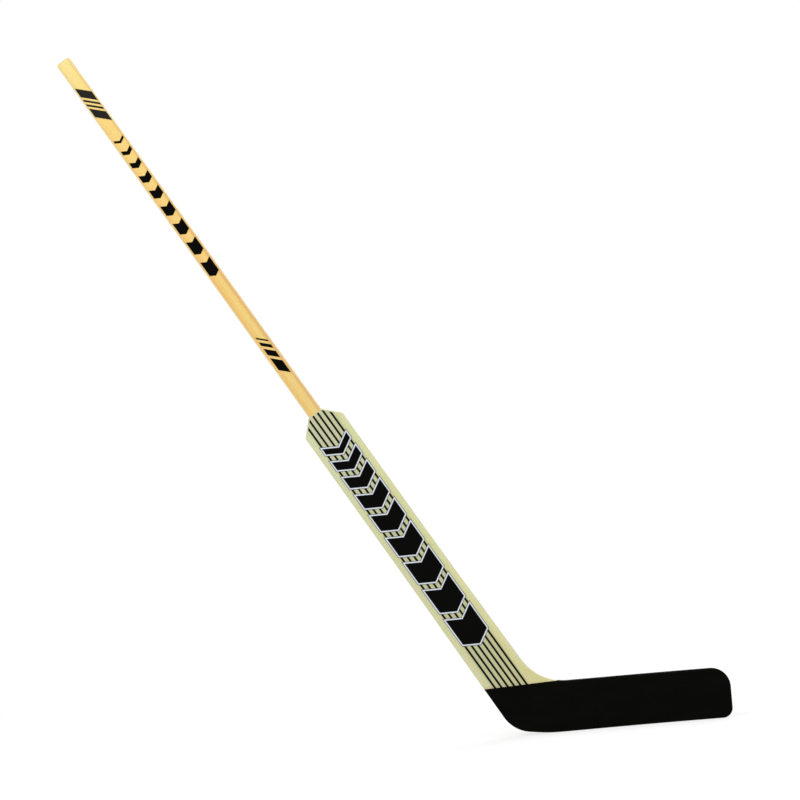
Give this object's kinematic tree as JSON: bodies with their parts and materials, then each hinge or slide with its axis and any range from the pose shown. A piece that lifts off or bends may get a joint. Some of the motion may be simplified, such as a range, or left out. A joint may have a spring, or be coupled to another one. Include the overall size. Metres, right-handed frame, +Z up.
{
  "type": "hockey goalie stick",
  "caption": "Ice hockey goalie stick with a laminated wood shaft, a wide glass-skinned paddle over a foam core, and a black curved blade.",
  "frame": {"origin": "on the flat of the sole, half way along the blade", "axes": "+X along the sole from heel to toe, +Z up from the sole, -Y out of the front face; the shaft leans towards -X"},
  "size_m": [1.0732, 0.0297, 1.2454],
  "materials": {
    "shaft_wood": "satin varnish",
    "shaft_core_wood": "satin varnish",
    "foam": "matte",
    "paddle_edge": "glass sealed",
    "carbon": "satin",
    "glass_skin": "satin",
    "blade_edge": "satin black paint",
    "blade_skin": "satin black paint"
  },
  "bodies": {
    "root": {"shaft_front_ply": "shaft_wood", "shaft_core_ply": "shaft_core_wood", "shaft_back_ply": "shaft_wood", "heel_side_foam": "foam", "toe_side_foam": "foam", "heel_side_rail": "paddle_edge", "toe_side_rail": "paddle_edge", "heel_side_shoulder": "paddle_edge", "toe_side_shoulder": "paddle_edge", "throat_gusset": "paddle_edge", "paddle_front_carbon": "carbon", "paddle_back_carbon": "carbon", "paddle_front_skin": "glass_skin", "paddle_back_skin": "glass_skin", "blade_tongue": "shaft_core_wood", "heel_block": "blade_edge", "blade_core": "foam", "blade_top_rail": "blade_edge", "blade_sole_strip": "blade_edge", "toe_block": "blade_edge", "blade_front_carbon": "carbon", "blade_back_carbon": "carbon", "blade_front_skin": "blade_skin", "blade_back_skin": "blade_skin"}
  },
  "joints": []
}
